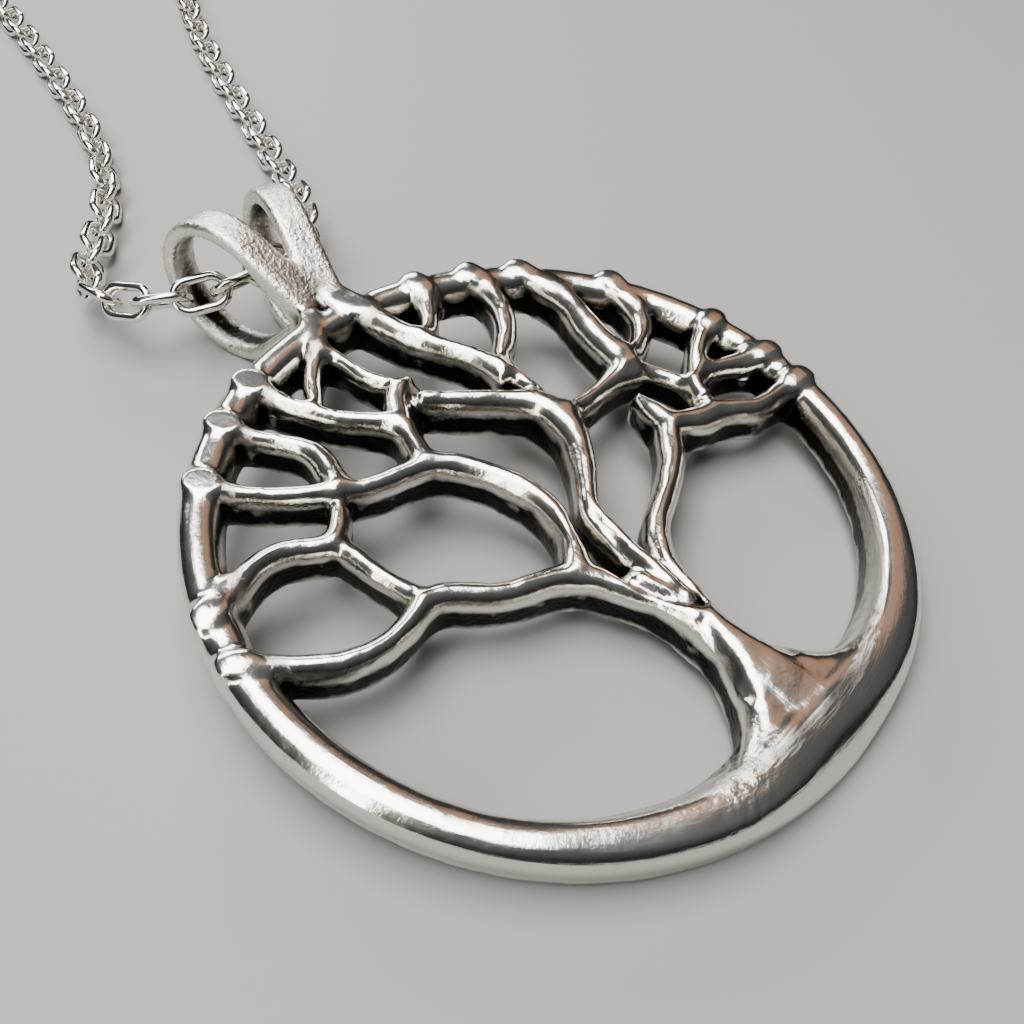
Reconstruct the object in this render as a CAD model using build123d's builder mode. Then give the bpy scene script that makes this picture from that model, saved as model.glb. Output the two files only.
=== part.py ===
from build123d import *
import math
import os

os.makedirs("parts", exist_ok=True)

# A cast silver tree of life pendant, lying face up on its split bail, with its chain laid out behind it.
# All sizes are millimetres. +Z is up, +Y runs from the trunk's foot towards the bail and the clasp.
# The origin is the middle of the neck opening, on the surface that the necklace lies on.

# Rim: a round band with a low upright outer wall and a domed top, wider along the crescent foot
rim_radius = 15.0
rim_width = 1.65
rim_height = 2.1
rim_wall = 0.7
rim_shoulder = 1.2

# Tree: flat-backed limbs with rounded tops, and ridges where their ends go over the rim
limb_width = 1.1
limb_height = 2.15
limb_round = 0.42
limb_round_share = 0.75
ridge_rise = 0.4
ridge_run = 2.3
ridge_widening = 0.08
ridge_overhang = 0.3
ridge_low = 0.5
ridge_round_share = 0.4

# Bail: two flat bands that splay from one foot, go over the chain and come back under
band_width = 1.75
band_thickness = 0.75
band_edge = 0.16
band_splay = 13.5
band_spread = 0.35
bail_reach = 8.9
bail_rise = 3.7
bail_drop = 3.1
bail_foot_high = 1.5
bail_foot_low = -0.1
bail_foot_depth = 0.9
hole_start = 1.3
hole_high = 0.85
hole_low = 0.65

# Chain: oval links of round wire, each turned a quarter round from the next
link_length = 3.1
link_width = 2.0
link_wire = 0.48
link_roll = 45.0

# Clasp: one plain ring with an eye, and a small ring at each end of the chain
clasp_radius = 2.5
clasp_wire = 0.8
eye_radius = 1.05
eye_wire = 0.5
eye_joint = 0.4
small_ring_radius = 1.5
small_ring_wire = 0.5

# The play between two rings or links that hang in each other
link_play = 0.2

# Where the pendant lies: from the middle of the neck opening to the middle of the rim
pendant_back = 162.0
pendant_side = 49.0

# The chain's middle line, from the middle of the rim: x to the side, y towards the clasp, z above the surface
CHAIN_ROUTE = [
    (0.0, 20.7, 3.55),
    (-3.1, 21.4, 3.35),
    (-5.4, 23.7, 2.85),
    (-5.8, 26.8, 2.2),
    (-4.3, 30.1, 1.5),
    (-1.7, 33.6, 0.95),
    (1.4, 38.8, 0.8),
    (5.2, 50.5, 0.8),
    (8.6, 66.5, 0.8),
    (11.6, 97.7, 0.8),
    (11.1, 131.0, 0.8),
    (12.2, 163.7, 0.8),
    (20.0, 191.0, 0.8),
    (37.3, 208.6, 0.83),
    (50.0, 212.2, 1.0),
    (56.2, 211.1, 1.5),
    (62.5, 209.4, 1.95),
    (68.5, 207.3, 1.55),
    (75.0, 203.8, 1.0),
    (86.1, 191.8, 0.83),
    (88.9, 167.3, 0.8),
    (78.2, 141.0, 0.8),
    (58.9, 114.5, 0.8),
    (38.2, 88.5, 0.8),
    (22.8, 63.8, 0.8),
    (16.6, 51.0, 0.8),
    (12.5, 40.0, 0.8),
    (10.1, 33.5, 1.0),
    (8.6, 29.9, 1.5),
    (7.1, 26.5, 2.2),
    (5.4, 23.6, 2.85),
    (3.1, 21.4, 3.35),
]

# The crescent foot, from each end to its middle: degrees from the middle, width in percent of rim_width, where
# the crest lies across it in percent of its width from the outside, and crest height in percent of rim_height
FOOT = [
    (60.0, 100, 48, 100),
    (48.0, 106, 54, 103),
    (36.0, 120, 64, 107),
    (24.0, 142, 72, 110),
    (12.0, 190, 70, 113),
    (0.0, 240, 62, 114),
]

# Each limb: name, top height as a share of limb_height, and how its far end is: "in" another limb, "free" and
# rounded, or "over" the rim, where a ridge carries it on.
# Its rows are across and up from the rim's middle in percent of rim_radius, and width in percent of limb_width.
LIMBS = [
    ("trunk", 1.09, "in", [
        (0.0, -84.7, 200), (0.0, -70.7, 173), (0.0, -57.3, 159), (0.3, -46.7, 168),
        (-2.3, -37.3, 136), (-6.0, -30.0, 100),
    ]),
    ("root_left", 1.05, "in", [
        (-1.3, -56.0, 100), (-3.0, -66.7, 145), (-9.3, -78.7, 173), (-20.0, -85.0, 164),
        (-31.3, -84.7, 136), (-42.0, -80.7, 91),
    ]),
    ("root_right", 1.05, "in", [
        (2.3, -56.0, 91), (3.3, -66.7, 136), (9.0, -78.7, 173), (19.3, -85.0, 164),
        (30.7, -85.0, 136), (41.3, -81.0, 91),
    ]),
    ("low_left", 1.02, "over", [
        (-2.3, -41.3, 100), (-6.7, -32.7, 100), (-11.3, -23.3, 118), (-19.3, -17.0, 109),
        (-28.0, -13.7, 105), (-34.7, -10.0, 105), (-41.3, -4.0, 109), (-47.3, -0.7, 114),
        (-54.7, -2.0, 100), (-64.0, -3.3, 95), (-73.3, -1.3, 100), (-80.7, 3.3, 100),
        (-88.0, 9.7, 100), (-95.3, 14.7, 100),
    ]),
    ("loop", 1.05, "in", [
        (-12.7, -19.3, 127), (-8.0, -12.7, 100), (-4.3, -4.0, 100), (-3.3, 5.3, 114),
        (-5.0, 13.3, 114), (-8.0, 20.7, 105), (-12.3, 27.7, 109), (-18.3, 33.3, 114),
    ]),
    ("high_left", 1.02, "over", [
        (-14.0, 31.3, 109), (-22.0, 33.7, 100), (-31.3, 35.7, 91), (-40.0, 39.0, 91),
        (-47.3, 43.7, 86), (-54.7, 48.7, 82), (-60.7, 54.0, 82), (-66.0, 60.0, 91),
        (-70.7, 66.0, 100),
    ]),
    ("mid_left", 1.00, "over", [
        (-46.0, 36.7, 82), (-50.7, 31.3, 91), (-55.3, 29.0, 100), (-62.0, 32.3, 95),
        (-69.3, 35.3, 95), (-77.3, 34.7, 105), (-84.7, 32.0, 114), (-92.7, 29.0, 118),
    ]),
    ("drop_left", 0.95, "in", [
        (-54.7, 30.7, 91), (-53.3, 22.7, 86), (-52.0, 13.3, 82), (-50.0, 6.0, 86),
        (-48.7, 0.7, 109),
    ]),
    ("spur_left", 1.00, "over", [
        (-41.3, 41.3, 109), (-40.0, 49.3, 109), (-39.3, 56.0, 100), (-41.7, 61.3, 82),
        (-46.3, 67.7, 73), (-50.7, 74.0, 82), (-54.7, 81.3, 91),
    ]),
    ("rise_left", 1.02, "over", [
        (-18.3, 34.0, 109), (-16.0, 41.3, 105), (-15.3, 48.7, 105), (-19.3, 54.7, 91),
        (-25.3, 60.7, 82), (-30.0, 67.3, 77), (-34.0, 75.3, 86), (-36.7, 82.7, 100),
        (-39.3, 90.0, 109),
    ]),
    ("hook", 0.98, "free", [
        (-14.7, 48.7, 109), (-11.3, 55.0, 91), (-6.7, 59.7, 73), (-0.7, 61.3, 55),
    ]),
    ("hook_web", 0.81, "free", [
        (-13.3, 44.7, 109), (-10.0, 51.3, 109), (-6.0, 55.7, 105), (-1.7, 58.3, 86),
    ]),
    ("twig_left", 1.00, "free", [
        (-28.7, 68.7, 68), (-24.7, 75.3, 77), (-19.3, 82.0, 82), (-12.7, 88.0, 91),
        (-10.0, 94.0, 95), (-7.3, 98.7, 100),
    ]),
    ("twig_mid", 0.95, "in", [
        (-11.7, 90.7, 86), (-10.7, 82.0, 77), (-9.7, 74.0, 77), (-8.0, 68.0, 77), (-5.0, 62.7, 73),
    ]),
    ("diagonal", 1.09, "free", [
        (21.7, 41.3, 82), (22.0, 49.3, 91), (20.3, 56.7, 95), (16.0, 65.3, 100),
        (11.7, 74.7, 109), (9.3, 84.0, 118), (6.7, 94.7, 123), (4.7, 101.3, 136),
    ]),
    ("elbow", 1.12, "free", [
        (0.7, -40.0, 91), (1.3, -28.7, 91), (2.3, -17.3, 100), (4.7, -7.3, 95), (10.7, -0.7, 100),
        (16.7, 6.7, 118), (21.3, 14.0, 136), (23.3, 21.3, 159), (22.0, 28.0, 136),
        (17.3, 34.0, 109), (11.3, 39.0, 100), (5.3, 44.0, 100), (-0.3, 48.7, 91), (-2.7, 50.7, 91),
    ]),
    ("right_rise", 1.00, "over", [
        (26.0, 32.0, 82), (26.0, 41.3, 86), (27.7, 50.0, 95), (33.3, 54.3, 95), (39.7, 60.0, 100),
        (44.3, 67.3, 105), (46.7, 75.3, 109), (46.3, 84.0, 114),
    ]),
    ("right_twig", 1.00, "over", [
        (15.3, 72.7, 82), (20.7, 75.3, 86), (25.3, 81.3, 100), (28.7, 88.0, 114),
        (29.3, 94.7, 118),
    ]),
    ("arm", 0.98, "in", [
        (28.0, 22.0, 100), (34.7, 21.3, 95), (43.3, 22.0, 100), (52.0, 22.3, 136),
        (58.0, 21.3, 145),
    ]),
    ("arm_up", 1.05, "over", [
        (56.0, 22.0, 136), (57.7, 30.0, 145), (59.0, 38.7, 145), (61.3, 47.3, 136),
        (63.7, 56.0, 127), (62.7, 64.7, 118), (61.3, 72.0, 109),
    ]),
    ("arm_side", 0.98, "over", [
        (58.0, 24.0, 91), (64.7, 26.7, 91), (72.0, 30.3, 95), (77.3, 35.3, 105), (79.7, 42.7, 109),
        (80.7, 49.3, 109),
    ]),
    ("link_down", 0.91, "in", [
        (58.0, 22.7, 109), (62.0, 16.0, 82), (64.7, 10.0, 77), (64.7, 4.0, 82), (64.0, -2.7, 100),
    ]),
    ("low_right", 1.00, "over", [
        (5.0, -45.3, 91), (6.7, -36.0, 91), (10.7, -28.0, 105), (17.3, -22.0, 105),
        (26.0, -17.7, 105), (34.0, -13.0, 109), (41.3, -7.3, 118), (47.3, -2.3, 127),
        (52.7, -3.3, 127), (58.7, -6.0, 127), (65.3, -8.0, 118), (73.3, -13.3, 109),
        (82.0, -14.7, 109), (89.3, -15.3, 114), (95.3, -16.0, 118),
    ]),
    ("stub", 1.02, "free", [
        (48.0, -4.0, 118), (47.7, 2.7, 105), (48.0, 8.0, 86), (48.3, 11.7, 55),
    ]),
    ("right_high", 1.05, "over", [
        (63.3, -1.3, 91), (66.7, 4.7, 91), (72.7, 8.7, 91), (80.0, 13.3, 100), (87.3, 16.7, 105),
        (94.7, 19.0, 109),
    ]),
    ("right_mid", 1.02, "over", [
        (66.0, 2.7, 73), (72.0, 5.0, 73), (80.0, 4.0, 91), (86.7, 1.3, 118), (92.7, -1.0, 123),
        (96.7, -2.3, 118),
    ]),
]

# The bail's far curve, and the slope at which foot and bail both touch the surface
loop_radius = (bail_rise + bail_drop) / 2
loop_height = (bail_rise - bail_drop) / 2
loop_out = bail_reach - loop_radius
loop_back = rim_radius + loop_out * math.cos(math.radians(band_splay))
foot_to_loop = math.hypot(rim_radius + loop_back, loop_height)
lying_slope = math.asin((loop_radius + band_thickness / 2) / foot_to_loop)
lying_slope = lying_slope - math.atan2(loop_height, rim_radius + loop_back)

# The plane of the pendant's flat back, with its origin at the middle of the rim
lying = Plane(
    origin=(
        -pendant_side,
        -pendant_back - rim_radius + rim_radius * math.cos(lying_slope),
        rim_radius * math.sin(lying_slope),
    ),
    x_dir=(1, 0, 0),
    z_dir=(0, -math.sin(lying_slope), math.cos(lying_slope)),
)
upward = Axis(lying.origin, lying.z_dir)


def limb(rows, top_share, end):
    """One limb: its two sides run smoothly past the rows' widths, and its top edges are rounded."""
    middle = [Vector(x * rim_radius / 100, y * rim_radius / 100) for x, y, _ in rows]
    halves = [width * limb_width / 200 for _, _, width in rows]
    left, right, ahead = [], [], []
    for i, point in enumerate(middle):
        ahead.append((middle[min(i + 1, len(middle) - 1)] - middle[max(i - 1, 0)]).normalized())
        side = ahead[i].rotate(Axis.Z, 90) * halves[i]
        left.append(point + side)
        right.append(point - side)
    with BuildPart() as body:
        with BuildSketch(lying):
            with BuildLine():
                Spline(*left, tangents=[ahead[0], ahead[-1]])
                if end == "free":
                    ThreePointArc(left[-1], middle[-1] + ahead[-1] * halves[-1], right[-1])
                else:
                    Line(left[-1], right[-1])
                Spline(*reversed(right), tangents=[-ahead[-1], -ahead[0]])
                Line(right[0], left[0])
            make_face()
        extrude(amount=limb_height * top_share)
        crown = body.faces().sort_by(upward)[-1]
        sides = crown.edges().filter_by(GeomType.LINE, reverse=True)
        fillet(sides, radius=min(limb_round, limb_round_share * min(halves)))
    return body.part


def ridge(rows, top_share):
    """A strap that carries a limb's end on over the rim and down its outer wall."""
    last = Vector(rows[-1][0], rows[-1][1]) * (rim_radius / 100)
    before = Vector(rows[-2][0], rows[-2][1]) * (rim_radius / 100)
    ahead = (last - before).normalized()
    to_edge = math.sqrt(rim_radius**2 - last.cross(ahead).length ** 2) - last.dot(ahead)
    edge = lying.from_local_coords(last + ahead * to_edge)
    outward = lying.from_local_coords(ahead) - lying.origin
    width = limb_width * rows[-1][2] / 100 + ridge_widening
    crest = rim_height + ridge_rise
    start = limb_height * top_share - limb_round
    with BuildPart() as body:
        with BuildSketch(Plane(origin=edge, x_dir=outward, z_dir=outward.cross(lying.z_dir))):
            with BuildLine():
                Spline(
                    (-ridge_run, start),
                    (-(ridge_run + rim_width / 2) / 2, (start + 2 * crest) / 3),
                    (-rim_width / 2, crest),
                    (0, (crest + rim_shoulder) / 2 + ridge_overhang),
                    (ridge_overhang, (rim_shoulder + rim_wall) / 2),
                    (ridge_overhang / 2, ridge_low),
                )
                Polyline(
                    (ridge_overhang / 2, ridge_low),
                    (-rim_width / 2, ridge_low),
                    (-ridge_run, ridge_low),
                    (-ridge_run, start),
                )
            make_face()
        extrude(amount=width / 2, both=True)
        fillet(body.edges().filter_by(GeomType.BSPLINE), radius=ridge_round_share * width)
    return body.part


def rim_section(turn, width_share, crest_share, height_share):
    """The outline across the rim, at turn degrees from the middle of the foot."""
    outward = lying.from_local_coords(Vector(0, -1, 0).rotate(Axis.Z, turn)) - lying.origin
    width = rim_width * width_share / 100
    inner = rim_radius - width
    crest = (rim_radius - width * crest_share / 100, rim_height * height_share / 100)
    with BuildSketch(Plane(origin=lying.origin, x_dir=outward, z_dir=outward.cross(lying.z_dir))) as section:
        with BuildLine():
            Polyline((inner, rim_shoulder), (inner, 0), (rim_radius, 0), (rim_radius, rim_wall))
            ThreePointArc((rim_radius, rim_wall), crest, (inner, rim_shoulder))
        make_face()
    return section.sketch


def tangent_point(centre, radius, point, side):
    """Where a straight line from point touches the circle, on its upper (1) or lower (-1) side."""
    reach = centre - point
    turn = math.degrees(math.asin(radius / reach.length)) * side
    span = math.sqrt(reach.length**2 - radius**2)
    return point + reach.normalized().rotate(Axis.Z, turn) * span


def teardrop(radius, tip_high, tip_low):
    """The outline of one side of a bail band: two straight runs to a round far end."""
    centre = Vector(loop_out, loop_height)
    high = tangent_point(centre, radius, tip_high, 1)
    low = tangent_point(centre, radius, tip_low, -1)
    with BuildLine() as outline:
        Line(tip_high, high)
        ThreePointArc(high, centre + Vector(radius, 0), low)
        Line(low, tip_low)
        Line(tip_low, tip_high)
    return outline.line


def band(side):
    """One of the bail's two bands, to the left (-1) or right (1) of the middle."""
    turned = Vector(0, 1, 0).rotate(Axis.Z, -side * band_splay)
    outward = lying.from_local_coords(turned) - lying.origin
    foot = lying.from_local_coords(Vector(side * band_spread, rim_radius, 0))
    flank = Plane(origin=foot, x_dir=outward, z_dir=outward.cross(lying.z_dir))
    outside = loop_radius + band_thickness / 2
    inside = loop_radius - band_thickness / 2
    with BuildPart() as body:
        with BuildSketch(flank):
            add(teardrop(outside, Vector(-bail_foot_depth, bail_foot_high), Vector(-bail_foot_depth, bail_foot_low)))
            make_face()
            with BuildLine():
                add(teardrop(inside, Vector(hole_start, hole_high), Vector(hole_start, hole_low)))
            make_face(mode=Mode.SUBTRACT)
        extrude(amount=band_width / 2, both=True)
        chamfer(body.faces().filter_by(flank).edges(), length=band_edge)
    return body.part


# Tree pendant: rim, limbs, ridges and bail are one casting
with BuildPart() as tree_pendant:
    add(rim_section(*FOOT[0]))
    revolve(axis=upward, revolution_arc=360 - 2 * FOOT[0][0])
    for turn, width_share, crest_share, height_share in FOOT[:-1]:
        add(rim_section(-turn, width_share, crest_share, height_share))
    for row in reversed(FOOT):
        add(rim_section(*row))
    loft()
    add([limb(rows, top_share, end) for _, top_share, end, rows in LIMBS])
    add([ridge(rows, top_share) for _, top_share, end, rows in LIMBS if end == "over"])
    add([band(-1), band(1)])
tree_pendant.part.label = "tree_pendant"
export_step(tree_pendant.part, "parts/tree_pendant.step")

# The chain's route, a closed line from the bail round the neck opening and back
with BuildLine() as route_line:
    Spline(*[(x - pendant_side, y - pendant_back, z) for x, y, z in CHAIN_ROUTE], periodic=True)
route = route_line.line.edges()[0]


def on_route(distance, roll):
    """A plane on the route: x runs along it, and z is turned about it by roll from level."""
    share = distance / route.length % 1
    ahead = route.tangent_at(share)
    level = ahead.cross(Vector(0, 0, 1)).normalized()
    facing = level.rotate(Axis((0, 0, 0), ahead), roll)
    return Plane(origin=route.position_at(share), x_dir=ahead, z_dir=facing)


# How far each ring's or link's middle line reaches from its own middle
link_reach = (link_length - link_wire) / 2
ring_reach = small_ring_radius - small_ring_wire / 2
clasp_reach = clasp_radius - clasp_wire / 2
eye_out = clasp_radius + eye_radius - eye_joint
eye_reach = eye_out + eye_radius - eye_wire / 2

# Places along the route, from the bail: the clasp at half way, a small ring on each side, then the links
clasp_at = route.length / 2
eye_ring_at = clasp_at - eye_reach - ring_reach + (eye_wire + small_ring_wire) / 2 + link_play
main_ring_at = clasp_at + clasp_reach + ring_reach - (clasp_wire + small_ring_wire) / 2 - link_play
ring_to_link = ring_reach + link_reach - (small_ring_wire + link_wire) / 2 - link_play
link_pitch = 2 * link_reach - link_wire - link_play
chain_span = route.length - (main_ring_at - eye_ring_at) - 2 * ring_to_link
link_count = 2 * round(chain_span / link_pitch / 2) + 1
first_link_at = main_ring_at + ring_to_link
link_step = chain_span / (link_count - 1)

# One link, lying in its own plane with its length along x
with BuildPart() as link:
    straight = (link_length - link_width) / 2
    bend = (link_width - link_wire) / 2
    with BuildLine():
        Line((-straight, -bend), (straight, -bend))
        ThreePointArc((straight, -bend), (straight + bend, 0), (straight, bend))
        Line((straight, bend), (-straight, bend))
        ThreePointArc((-straight, bend), (-straight - bend, 0), (-straight, -bend))
    with BuildSketch(Plane(origin=(0, -bend, 0), x_dir=(0, 0, 1), z_dir=(1, 0, 0))):
        Circle(link_wire / 2)
    sweep()

# Chain: all links in one piece, each clear of the next
turns = [link_roll, -link_roll]
places = [on_route(first_link_at + i * link_step, turns[i % 2]) for i in range(link_count)]
chain = Compound([place.location * link.part.solid() for place in places], label="chain")
export_step(chain, "parts/chain.step")

# Clasp: a plain closed ring with an eye
with BuildPart(on_route(clasp_at, link_roll)) as clasp:
    Torus(clasp_reach, clasp_wire / 2)
    with Locations((-eye_out, 0)):
        Torus(eye_radius - eye_wire / 2, eye_wire / 2)
clasp.part.label = "clasp"
export_step(clasp.part, "parts/clasp.step")

# The two small rings that join the chain's ends to the clasp
with BuildPart(on_route(eye_ring_at, -link_roll), on_route(main_ring_at, -link_roll)) as jump_rings:
    Torus(ring_reach, small_ring_wire / 2)
jump_rings.part.label = "jump_rings"
export_step(jump_rings.part, "parts/jump_rings.step")
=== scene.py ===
import math

import bmesh
import bpy
import numpy as np
from mathutils import Matrix, Vector, noise
from mathutils.kdtree import KDTree


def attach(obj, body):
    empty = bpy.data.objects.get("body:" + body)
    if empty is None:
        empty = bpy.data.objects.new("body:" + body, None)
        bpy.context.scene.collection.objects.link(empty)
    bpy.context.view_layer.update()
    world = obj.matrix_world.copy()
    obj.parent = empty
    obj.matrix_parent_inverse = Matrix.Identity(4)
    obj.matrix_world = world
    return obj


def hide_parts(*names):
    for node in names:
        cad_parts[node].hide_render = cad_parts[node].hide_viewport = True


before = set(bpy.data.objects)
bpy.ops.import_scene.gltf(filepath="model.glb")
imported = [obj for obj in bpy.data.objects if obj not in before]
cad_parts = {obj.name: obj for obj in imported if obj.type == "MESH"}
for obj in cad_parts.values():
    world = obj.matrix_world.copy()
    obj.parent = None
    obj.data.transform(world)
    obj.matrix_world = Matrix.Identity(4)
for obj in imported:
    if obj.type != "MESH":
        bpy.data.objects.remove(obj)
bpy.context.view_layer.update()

# The frame is in metres, and MM makes metres of a size in mm. The pendant lies on its flat back, with the
# middle of its disc at SIDE, BACK and its top raised a little by the bail. RIM is the rim's radius in mm.
MM = 0.001
SIDE = -49.0 * MM
BACK = -162.0 * MM
SLOPE = math.radians(5.64)
RIM = 15.0
LIE_UP = Vector((0, -math.sin(SLOPE), math.cos(SLOPE)))
LIE_FRONT = Vector((0, math.cos(SLOPE), math.sin(SLOPE)))
LIE_MIDDLE = Vector((SIDE, BACK - RIM * MM, 0)) + LIE_FRONT * (RIM * MM)


def linear(code):
    """A colour written as sRGB hex, as the linear values that a shader takes."""
    values = [int(code[i:i + 2], 16) / 255 for i in (1, 3, 5)]
    return [v / 12.92 if v <= 0.04045 else ((v + 0.055) / 1.055) ** 2.4 for v in values] + [1.0]


def link_in(obj):
    bpy.context.scene.collection.objects.link(obj)
    return obj


# Camera: the photo's view, from low on the left of the tree's foot
camera_data = bpy.data.cameras.new("camera")
camera_data.lens = 35.16
camera_data.sensor_width = 36.0
camera_data.clip_start = 2.0 * MM
camera = link_in(bpy.data.objects.new("camera", camera_data))
eye = Vector((SIDE - 22.025 * MM, BACK - 17.737 * MM, 33.139 * MM))
forward = Vector((0.49837, 0.45304, -0.73918)).normalized()
upward = Vector((0.50796, 0.53835, 0.67242)).normalized()
rightward = forward.cross(upward).normalized()
turned = Matrix((rightward, upward, -forward)).transposed().to_4x4()
camera.matrix_world = Matrix.Translation(eye) @ turned
bpy.context.scene.camera = camera


def node(tree, kind, values=(), links=(), **settings):
    """One shader node with its settings, its input values and the sockets linked into it."""
    made = tree.nodes.new(kind)
    for name, value in settings.items():
        setattr(made, name, value)
    for name, value in dict(values).items():
        made.inputs[name].default_value = value
    for name, socket in dict(links).items():
        tree.links.new(socket, made.inputs[name])
    return made


# Silver: how many patches of wear, grains of cast skin and brushed lines (along and across them) lie in a
# metre, how deep the last two are, and how much the wear changes the black and the roughness
WEAR_PATCHES = 2.6 / MM
CAST_GRAINS = 5.2 / MM
BRUSHED_LINES = (0.35 / MM, 9.0 / MM, 9.0 / MM)
GRAIN_DEPTH = 0.07 * MM
LINE_DEPTH = 0.02 * MM
WEAR_IN_BLACK = 0.5
WEAR_IN_SHINE = 0.12
SATIN_GRAIN = 0.8
BLACK_FROM, BLACK_FULL = 0.15, 0.7


def silver(name, clean, dark, rough, satin_rough, lines, grain):
    """Silver: bright where it is rubbed, black from patina and painted shade, with fine brushed lines and a
    grainy skin.

    The mesh's attributes say how black a spot is, from patina in hollows and painted shade on walls and
    inside the bail, how satin it is, and where it lies along and across the brushed lines. Mix sockets
    share their
    names, so they go by number: 2 and 3 for values, 6 and 7 for colours.
    """
    material = bpy.data.materials.new(name)
    material.use_nodes = True
    tree = material.node_tree
    tree.nodes.clear()
    spot = node(tree, "ShaderNodeTexCoord").outputs["Object"]
    patina_and_painted_shade = node(tree, "ShaderNodeAttribute", attribute_name="patina_and_painted_shade").outputs["Fac"]
    satin = node(tree, "ShaderNodeAttribute", attribute_name="satin").outputs["Fac"]
    rounds = node(tree, "ShaderNodeAttribute", attribute_name="rounds").outputs["Vector"]
    wear = node(tree, "ShaderNodeTexNoise", {"Scale": WEAR_PATCHES, "Detail": 5.0, "Roughness": 0.65},
                {"Vector": spot}).outputs["Fac"]
    skin = node(tree, "ShaderNodeTexNoise", {"Scale": CAST_GRAINS, "Detail": 3.0, "Roughness": 0.6},
                {"Vector": spot}).outputs["Fac"]
    # The wear breaks up the black's edge, as hand rubbing does
    uneven = node(tree, "ShaderNodeMath", {1: WEAR_IN_BLACK, 2: -WEAR_IN_BLACK / 2}, {0: wear},
                  operation="MULTIPLY_ADD")
    # The black: patina in hollows plus painted shade on walls and inside the bail, broken up by the wear
    patina_shade_and_wear = node(tree, "ShaderNodeMath", {}, {0: patina_and_painted_shade, 1: uneven.outputs[0]}, operation="ADD")
    black = node(tree, "ShaderNodeMapRange", {"From Min": BLACK_FROM, "From Max": BLACK_FULL},
                 {"Value": patina_shade_and_wear.outputs[0]})
    tint = node(tree, "ShaderNodeMix", {6: clean, 7: dark}, {0: black.outputs[0]}, data_type="RGBA")
    # Polished or satin, with the wear's patches a little rougher
    shine = node(tree, "ShaderNodeMix", {2: rough, 3: satin_rough}, {0: satin}, data_type="FLOAT")
    worn = node(tree, "ShaderNodeMath", {1: WEAR_IN_SHINE, 2: -WEAR_IN_SHINE / 2}, {0: wear},
                operation="MULTIPLY_ADD")
    roughness = node(tree, "ShaderNodeMath", {}, {0: shine.outputs[0], 1: worn.outputs[0]}, operation="ADD")
    # The lines run round the rim and one way on the limbs, and the grain is strongest on satin
    brushed = node(tree, "ShaderNodeVectorMath", {1: BRUSHED_LINES}, {0: rounds}, operation="MULTIPLY")
    scratches = node(tree, "ShaderNodeTexNoise", {"Scale": 1.0, "Detail": 3.0},
                     {"Vector": brushed.outputs[0]})
    lined = node(tree, "ShaderNodeBump", {"Strength": lines, "Distance": LINE_DEPTH},
                 {"Height": scratches.outputs["Fac"]})
    grainy = node(tree, "ShaderNodeMath", {1: SATIN_GRAIN, 2: grain}, {0: satin}, operation="MULTIPLY_ADD")
    pitted = node(tree, "ShaderNodeBump", {"Distance": GRAIN_DEPTH},
                  {"Strength": grainy.outputs[0], "Height": skin, "Normal": lined.outputs[0]})
    metal = node(tree, "ShaderNodeBsdfPrincipled", {"Metallic": 1.0},
                 {"Base Color": tint.outputs[2], "Roughness": roughness.outputs[0],
                  "Normal": pitted.outputs[0]})
    node(tree, "ShaderNodeOutputMaterial", {}, {"Surface": metal.outputs[0]})
    return material


# Cast sterling silver, oxidised and then polished: bright on the high places, black with patina in the
# recesses and with painted shade on the walls, and with a grainy cast skin where the wheel didn't reach
cast_silver = silver("cast_silver", linear("#ebe7df"), linear("#24211e"), rough=0.18, satin_rough=0.28,
                     lines=0.4, grain=0.12)
# Drawn silver wire: bright, with soft wear
wire_silver = silver("wire_silver", linear("#efece6"), linear("#8f8a82"), rough=0.16, satin_rough=0.24,
                     lines=0.10, grain=0.023)


def mesh_object(name, made, material):
    """A bmesh as a smooth object at the origin that takes the material."""
    mesh = bpy.data.meshes.new(name)
    made.to_mesh(mesh)
    made.free()
    for face in mesh.polygons:
        face.use_smooth = True
    mesh.materials.append(material)
    return link_in(bpy.data.objects.new(name, mesh))


MERGE_WITHIN = 0.002 * MM


def merged_copy(node_name):
    """A bmesh copy of a CAD node's mesh with its doubles merged."""
    made = bmesh.new()
    made.from_mesh(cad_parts[node_name].data)
    bmesh.ops.remove_doubles(made, verts=made.verts, dist=MERGE_WITHIN)
    return made


def even_mesh(name, node_name, voxel, material):
    """A CAD node as one object of even small faces, its edges melted a little."""
    piece = mesh_object(name, merged_copy(node_name), material)
    remesh = piece.modifiers.new("remesh", "REMESH")
    remesh.mode = "VOXEL"
    remesh.voxel_size = voxel
    remesh.use_smooth_shade = True
    melt = piece.modifiers.new("melt", "SMOOTH")
    melt.factor = 0.5
    melt.iterations = 4
    graph = bpy.context.evaluated_depsgraph_get()
    even = bpy.data.meshes.new_from_object(piece.evaluated_get(graph))
    even.materials.clear()
    even.materials.append(material)
    piece.modifiers.clear()
    plain = piece.data
    piece.data = even
    bpy.data.meshes.remove(plain)
    return piece


def read(mesh, what):
    """The mesh's vertex places or normals, as rows of three."""
    flat = np.empty(3 * len(mesh.vertices))
    mesh.vertices.foreach_get(what, flat)
    return flat.reshape(-1, 3)


def above(values, low, high):
    """0 up to low, 1 from high on, and straight between."""
    return np.clip((values - low) / (high - low), 0.0, 1.0)


def below(values, low, high):
    """1 up to low, 0 from high on, and straight between."""
    return above(-values, -high, -low)


# Pendant: the CAD solid as an even mesh, then shaped as a casting is that was rubbed and polished by hand
VOXEL = 0.153 * MM
pendant = even_mesh("pendant", "tree_pendant", VOXEL, cast_silver)
casting = pendant.data
count = len(casting.vertices)
ends = np.empty(2 * len(casting.edges), dtype=np.int32)
casting.edges.foreach_get("vertices", ends)
first, second = ends[0::2], ends[1::2]
degree = np.bincount(ends, minlength=count)


def near_mean(values):
    """The mean of each vertex's neighbours."""
    sums = np.bincount(first, values[second], count) + np.bincount(second, values[first], count)
    return sums / degree


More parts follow.
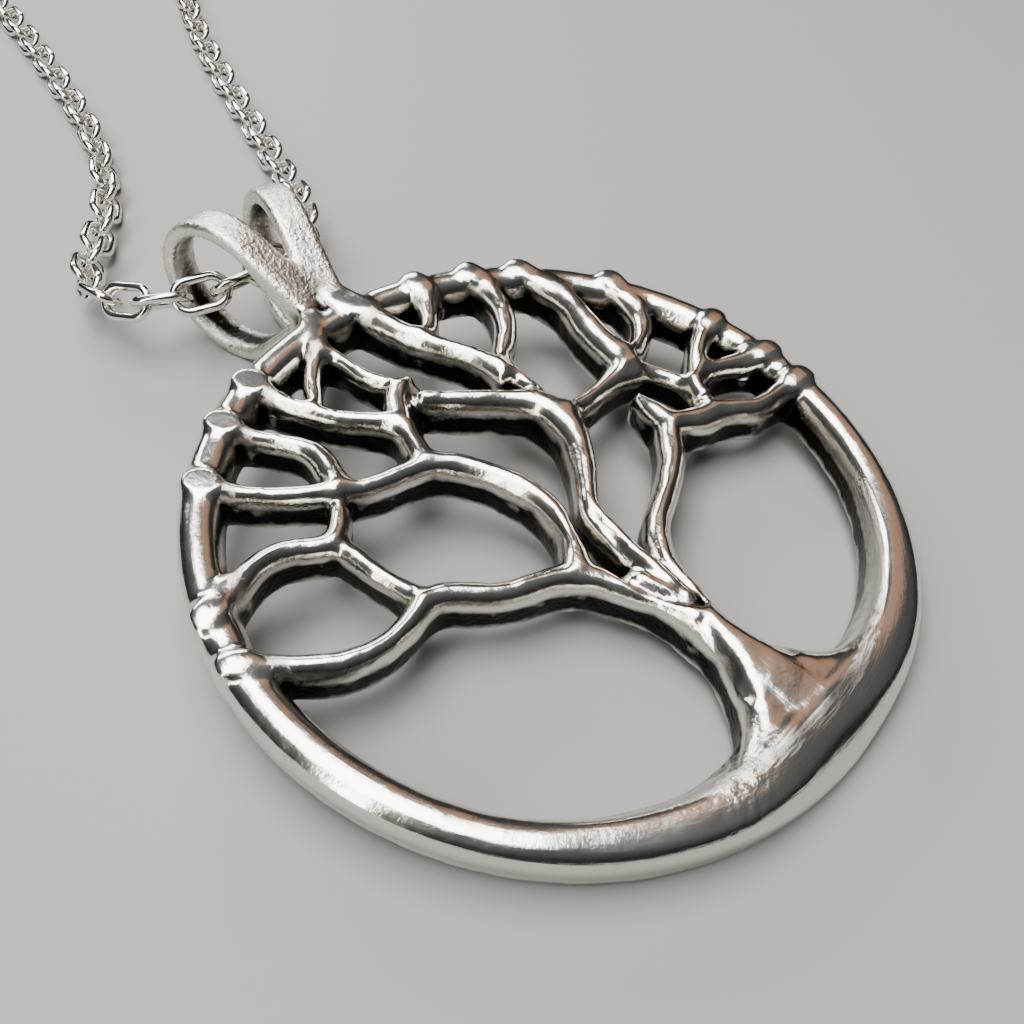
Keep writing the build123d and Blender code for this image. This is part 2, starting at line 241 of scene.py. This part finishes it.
def near_middle(spots):
    """The middle of each vertex's neighbours."""
    return np.stack([near_mean(spots[:, k]) for k in range(3)], axis=1)


def blurred(values, times):
    for _ in range(times):
        values = 0.5 * values + 0.5 * near_mean(values)
    return values


# The pendant's own frame, in mm: across, towards the bail and up from the flat back. "out" is the distance
# from the rim's middle. A zone's name below stands for the two distances or heights between which it fades.
BEFORE_BAIL = (15.2, 15.6)
own = np.array([(1, 0, 0), LIE_FRONT, LIE_UP])
places = read(casting, "co")
normals = read(casting, "normal")
local = (places - np.array(LIE_MIDDLE)) @ own.T / MM
across, towards_bail, height = local.T
out = np.hypot(across, towards_bail)
facing_up = (normals @ own.T)[:, 2]
before_bail = below(out, *BEFORE_BAIL)


def sink(amounts):
    """Moves each vertex down towards the flat back by its own amount in mm."""
    places[:] -= own[2] * (amounts * MM)[:, None]


# Crowns: the CAD limbs have tight edges, so each vertex on a limb's top sinks by its distance from the wall
CAD_ROUND = 0.42
CROWN_ROUND = 0.85
LIMBS_END = 14.4
WALL_LEAN = 0.3
WALL_BOTTOM, WALL_TOP = 0.8, 1.7
LIMB_TOPS = (1.1, 1.7)
INSIDE_RIM = (13.2, 13.7)
is_wall = (np.abs(facing_up) < WALL_LEAN) & (height > WALL_BOTTOM) & (height < WALL_TOP) & (out < LIMBS_END)
walls = KDTree(int(is_wall.sum()))
for i, (x, y) in enumerate(local[is_wall, :2]):
    walls.insert((x, y, 0.0), i)
walls.balance()
is_top = (height > LIMB_TOPS[0]) & (out < LIMBS_END)
inward = np.full(count, CROWN_ROUND)
inward[is_top] = [min(walls.find((x, y, 0.0))[2], CROWN_ROUND) for x, y in local[is_top, :2]]


def under_top(radius):
    """How far a round edge of this radius lies under the flat top."""
    return radius - np.sqrt(np.maximum(0.0, radius**2 - np.maximum(0.0, radius - inward) ** 2))


on_limb = below(out, *INSIDE_RIM) * above(height, *LIMB_TOPS)
sink((under_top(CROWN_ROUND) - under_top(CAD_ROUND)) * on_limb)

# Rim: the humps over it are rubbed down to half, and drawn in beside it except at the bail's foot
HUMPS_FROM = 2.15
HUMPS_LEFT = 0.5
RIM_EDGE = 15.02
DRAWN_IN = 0.65
OVER_RIM = (12.6, 13.4)
BAIL_SPREAD = 0.2
BESIDE_BAIL = (0.0, 0.6)
over_rim = above(out, *OVER_RIM) * before_bail
sink(np.maximum(0.0, height - HUMPS_FROM) * HUMPS_LEFT * over_rim)
outward = local[:, :2] / np.maximum(out, 0.1)[:, None] @ own[:2]
clear_of_bail = above(np.abs(across) - towards_bail * BAIL_SPREAD, *BESIDE_BAIL)
drawn_in = DRAWN_IN * np.maximum(0.0, out - RIM_EDGE) * clear_of_bail
places -= outward * (drawn_in * MM)[:, None]

# Tops: evened without shrinking, each step inwards followed by one nearly as long back out
EVENED_TOPS = (1.0, 1.5)
ROUNDS_OF_EVENING = 9
STEP_IN, STEP_BACK = 0.5, -0.48
evened = above(height, *EVENED_TOPS) * before_bail
for _ in range(ROUNDS_OF_EVENING):
    for step in (STEP_IN, STEP_BACK):
        places += step * evened[:, None] * (near_middle(places) - places)

# Grooves between the strands of the trunk: depth in mm, and places in percent of the rim's radius
GROOVES = [
    (0.30, [(-2.0, -8.0), (-3.8, -13.1), (-5.1, -19.3), (-6.4, -25.2), (-6.6, -31.4), (-5.0, -36.8),
            (-2.2, -42.9), (1.5, -48.0)]),
    (0.34, [(6.0, -20.0), (5.4, -26.0), (4.8, -31.0), (4.2, -36.0), (3.7, -42.0), (3.5, -48.0)]),
    (0.16, [(2.4, -10.0), (1.0, -18.0), (-1.0, -26.0), (-1.2, -34.0), (0.6, -42.0)]),
    (0.14, [(-9.5, -72.0), (-5.0, -60.0), (-2.0, -52.0)]),
    (0.14, [(8.5, -72.0), (5.5, -60.0), (4.5, -52.0)]),
]
GROOVE_HALF_WIDTH = 0.2
GROOVED_TOPS = (1.2, 1.9)
FAR_OFF = 9.0
carved = np.zeros(count)
for depth, rows in GROOVES:
    line = np.array(rows) * (RIM / 100)
    gap = np.full(count, FAR_OFF)
    for a, b in zip(line, line[1:]):
        share = np.clip(((local[:, :2] - a) @ (b - a)) / ((b - a) @ (b - a)), 0.0, 1.0)
        nearest = a + share[:, None] * (b - a)
        gap = np.minimum(gap, np.linalg.norm(local[:, :2] - nearest, axis=1))
    carved += depth * np.exp(-((gap / GROOVE_HALF_WIDTH) ** 2)) * above(height, *GROOVED_TOPS)
sink(carved)

# Flats: three limb ends on the left are worn level where they go over the rim, between two directions
# given in degrees from straight across
WORN_LEVEL = 2.2
WORN_OUT = (12.7, 13.1)
WORN_FROM, WORN_TO = (108.0, 109.0), (141.0, 142.0)
level = (places - np.array(LIE_MIDDLE)) @ own[2] / MM
angle = np.degrees(np.arctan2(towards_bail, across))
worn = above(out, *WORN_OUT) * above(angle, *WORN_FROM) * below(angle, *WORN_TO)
sink(np.maximum(0.0, level - WORN_LEVEL) * worn)

# A hand-made surface: slow swells everywhere, calmer on the rim, and lumps in a long patch beside the
# trunk's foot, where the casting stayed rough
SWELL, SWELLS_PER_MM = 0.045, 0.75
RIPPLE_SHARE, RIPPLES_PER_MM = 0.45, 1.9
RIM_CALM, CALM_OUT = 0.8, (12.8, 13.4)
LUMP, LUMPS_PER_MM = 0.11, 3.2
PATCH_MIDDLE = (-3.6, -11.7)
PATCH_ALONG, PATCH_HALF_LENGTH = (0.69, 0.73), 1.9
PATCH_ACROSS, PATCH_HALF_WIDTH = (0.71, -0.70), 0.95
PATCH_TOPS = (1.0, 1.8)
PATCH_FAINT = 0.03


def wave(spot, per_mm):
    """Smooth noise at a spot, with this many waves to the mm."""
    return noise.noise(Vector(spot) * per_mm)


from_patch = local[:, :2] - PATCH_MIDDLE
patch = np.exp(-((from_patch @ PATCH_ALONG / PATCH_HALF_LENGTH) ** 2)
               - (from_patch @ PATCH_ACROSS / PATCH_HALF_WIDTH) ** 2)
patch *= above(height, *PATCH_TOPS)
swell = np.array([wave(spot, SWELLS_PER_MM) + RIPPLE_SHARE * wave(spot, RIPPLES_PER_MM) for spot in local])
lumps = np.array([wave(spot, LUMPS_PER_MM) if part > PATCH_FAINT else 0.0
                  for spot, part in zip(local, patch)])
calm = 1.0 - RIM_CALM * above(out, *CALM_OUT)
places += normals * ((SWELL * swell * calm + LUMP * lumps * patch) * MM)[:, None]
casting.vertices.foreach_set("co", places.ravel())
casting.update()

# Marks for the silver. The black is patina in hollows and a little on the bail, and painted shade on walls,
# most of all low down on them, and on the bail's inner faces, the walls darkened as if they mirrored a dark
# ground. The bail is satin, and the rough patch and the walls are nearly so.
SHADE_ON_WALL, SHADE_LOW_ON_WALL, BLACK_HOLLOW, BLACK_BAIL, SHADE_IN_BAIL = 0.75, 0.35, 14.0, 0.3, 0.4
SATIN_PATCH, SATIN_WALL = 0.8, 0.6
WALL_FACING = (-0.1, 0.7)
WALLS_INSIDE = (14.5, 14.9)
LOW_DOWN = (0.5, 1.7)
ON_BAIL = (15.2, 15.8)
BAIL_MIDDLE = 1.0
INWARD_FACING = (0.0, 0.6)
HOLLOW_BLUR, MARK_BLUR = 5, 4
places = read(casting, "co")
normals = read(casting, "normal")
facing_up = (normals @ own.T)[:, 2]
bend = near_middle(places) - places
hollow = blurred(np.einsum("ij,ij->i", bend, normals) / VOXEL, HOLLOW_BLUR)
steep = below(facing_up, *WALL_FACING) * below(out, *WALLS_INSIDE)
low_down = below(height, *LOW_DOWN)
bail = above(out, *ON_BAIL)
inside_bail = bail * above(-facing_up * np.where(height > BAIL_MIDDLE, 1.0, -1.0), *INWARD_FACING)
# Painted shade on walls, low down on them and on the bail's inner faces; patina in hollows and on the bail
patina_and_painted_shade = (SHADE_ON_WALL * steep + SHADE_LOW_ON_WALL * steep * low_down + BLACK_HOLLOW * hollow + BLACK_BAIL * bail
          + SHADE_IN_BAIL * inside_bail)
satin = np.maximum.reduce([bail, SATIN_PATCH * patch, SATIN_WALL * steep])
# The brushed lines run along "rounds": the way round the rim, and towards the bail everywhere else
RIM_LINES = (12.9, 13.4)
on_rim = above(out, *RIM_LINES)[:, None]
way_round = np.arctan2(across, -towards_bail) * RIM
rounds = on_rim * np.stack([way_round, out, height], axis=1) + (1 - on_rim) * local[:, [1, 0, 2]]
for name, kind, field, values in (
    ("patina_and_painted_shade", "FLOAT", "value", np.clip(blurred(patina_and_painted_shade, MARK_BLUR), 0.0, 1.0)),
    ("satin", "FLOAT", "value", np.clip(blurred(satin, MARK_BLUR), 0.0, 1.0)),
    ("rounds", "FLOAT_VECTOR", "vector", rounds * MM),
):
    mark = casting.attributes.new(name, kind, "POINT")
    mark.data.foreach_set(field, values.ravel())
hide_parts("tree_pendant")
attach(pendant, "root")

# Chain: each link of the CAD chain gives the place and turn of a rounder one
LINK_LENGTH = 3.1 * MM
LINK_WIDTH = 2.0 * MM
LINK_WIRE = 0.48 * MM
IN_VIEW = BACK + 75 * MM
# Sides of the wire and steps of each bend, in the photo's view and beyond it
NEAR_STEPS = (12, 10)
FAR_STEPS = (6, 3)


def link_frames(node_name):
    """The middle, length direction and width direction of each loose link."""
    made = merged_copy(node_name)
    seen = set()
    frames = []
    for start in made.verts:
        if start in seen:
            continue
        seen.add(start)
        link = [start]
        for vertex in link:
            for edge in vertex.link_edges:
                other = edge.other_vert(vertex)
                if other not in seen:
                    seen.add(other)
                    link.append(other)
        spots = np.array([vertex.co for vertex in link])
        middle = (spots.min(axis=0) + spots.max(axis=0)) / 2
        offsets = spots - middle
        directions = np.linalg.eigh(offsets.T @ offsets)[1]
        frames.append((Vector(middle), Vector(directions[:, 2]), Vector(directions[:, 1])))
    made.free()
    return frames


def edges_of(parts):
    return [part for part in parts if isinstance(part, bmesh.types.BMEdge)]


def link_shape(round_steps, bend_steps):
    """One oval link along X: the wire's section spun round each end and drawn straight between."""
    straight = (LINK_LENGTH - LINK_WIDTH) / 2
    bend_radius = (LINK_WIDTH - LINK_WIRE) / 2
    made = bmesh.new()
    start = Matrix.Translation((straight, -bend_radius, 0)) @ Matrix.Rotation(math.pi / 2, 4, "Y")
    bmesh.ops.create_circle(made, segments=round_steps, radius=LINK_WIRE / 2, matrix=start)
    first_ring = list(made.edges)
    ring = first_ring
    for end in (straight, -straight):
        spun = bmesh.ops.spin(made, geom=ring, cent=(end, 0, 0), axis=(0, 0, 1), dvec=(0, 0, 0),
                              angle=math.pi, steps=bend_steps)
        ring = edges_of(spun["geom_last"])
        if end > 0:
            drawn = bmesh.ops.extrude_edge_only(made, edges=ring)["geom"]
            moved = [part for part in drawn if isinstance(part, bmesh.types.BMVert)]
            bmesh.ops.translate(made, vec=(-2 * end, 0, 0), verts=moved)
            ring = [edge for edge in edges_of(drawn) if edge.is_boundary]
    bmesh.ops.bridge_loops(made, edges=first_ring + ring)
    bmesh.ops.recalc_face_normals(made, faces=made.faces)
    mesh = bpy.data.meshes.new("link")
    made.to_mesh(mesh)
    made.free()
    return mesh


def joined_links(name, frames, shape):
    """The links of one stretch as one piece."""
    made = bmesh.new()
    for middle, along, sideways in frames:
        turn = Matrix((along, sideways, along.cross(sideways))).transposed().to_4x4()
        link = shape.copy()
        link.transform(Matrix.Translation(middle) @ turn)
        made.from_mesh(link)
        bpy.data.meshes.remove(link)
    piece = mesh_object(name, made, wire_silver)
    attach(piece, "root")
    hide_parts("chain")


links = link_frames("chain")
joined_links("chain_near", [link for link in links if link[0].y < IN_VIEW], link_shape(*NEAR_STEPS))
joined_links("chain_far", [link for link in links if link[0].y >= IN_VIEW], link_shape(*FAR_STEPS))

# Clasp and jump rings: they keep their CAD meshes
for name in ("clasp", "jump_rings"):
    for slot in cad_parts[name].material_slots:
        slot.material = wire_silver

# Floor: a pale matt sheet, just under everything
FLOOR_DROP = 0.02 * MM
FLOOR_HALF = 1.2
pale_sheet = bpy.data.materials.new("floor")
pale_sheet.use_nodes = True
sheet_shader = pale_sheet.node_tree.nodes["Principled BSDF"]
sheet_shader.inputs["Base Color"].default_value = linear("#a9a8a6")
sheet_shader.inputs["Roughness"].default_value = 0.7
made = bmesh.new()
bmesh.ops.create_grid(made, x_segments=1, y_segments=1, size=FLOOR_HALF)
floor = mesh_object("floor", made, pale_sheet)
floor.data.transform(Matrix.Translation((0, 0, -FLOOR_DROP)))

# Light: a broad soft box nearly overhead, a weak brown one on the right that the flat tops mirror, a narrow
# one on the left and one behind. Each row has metres from the disc, width and height, watts and colour.
SOFT_BOXES = [
    ("key", (-0.045, 0.055, 0.34), (0.36, 0.24), 1.35, "#ffffff"),
    ("warm", (0.22, 0.05, 0.26), (0.16, 0.24), 0.13, "#84624a"),
    ("left", (-0.30, -0.02, 0.16), (0.04, 0.34), 0.3, "#fffaf2"),
    ("back", (0.10, 0.34, 0.18), (0.30, 0.08), 0.45, "#ffffff"),
]
disc = Vector((SIDE, BACK, 0))
for name, offset, size, watts, colour in SOFT_BOXES:
    light = bpy.data.lights.new(name, "AREA")
    light.shape = "RECTANGLE"
    light.size, light.size_y = size
    light.energy = watts
    light.color = linear(colour)[:3]
    lamp = link_in(bpy.data.objects.new(name, light))
    lamp.location = disc + Vector(offset)
    lamp.rotation_euler = (-Vector(offset)).to_track_quat("-Z", "Y").to_euler()

# Room: brighter overhead than along the horizon
ROOM_LOW, ROOM_HIGH = 0.03, 0.32
world = bpy.data.worlds.new("world")
world.use_nodes = True
sky = world.node_tree
aim = node(sky, "ShaderNodeTexCoord").outputs["Generated"]
aim_up = node(sky, "ShaderNodeSeparateXYZ", {}, {0: aim}).outputs["Z"]
strength = node(sky, "ShaderNodeMapRange",
                {"From Min": 0.1, "From Max": 0.9, "To Min": ROOM_LOW, "To Max": ROOM_HIGH},
                {"Value": aim_up})
sky.nodes["Background"].inputs["Color"].default_value = linear("#9da0a3")
sky.links.new(strength.outputs[0], sky.nodes["Background"].inputs["Strength"])
bpy.context.scene.world = world
bpy.context.scene.view_settings.view_transform = "AgX"
bpy.context.scene.view_settings.look = "AgX - Medium High Contrast"
bpy.context.scene.view_settings.exposure = 0.3
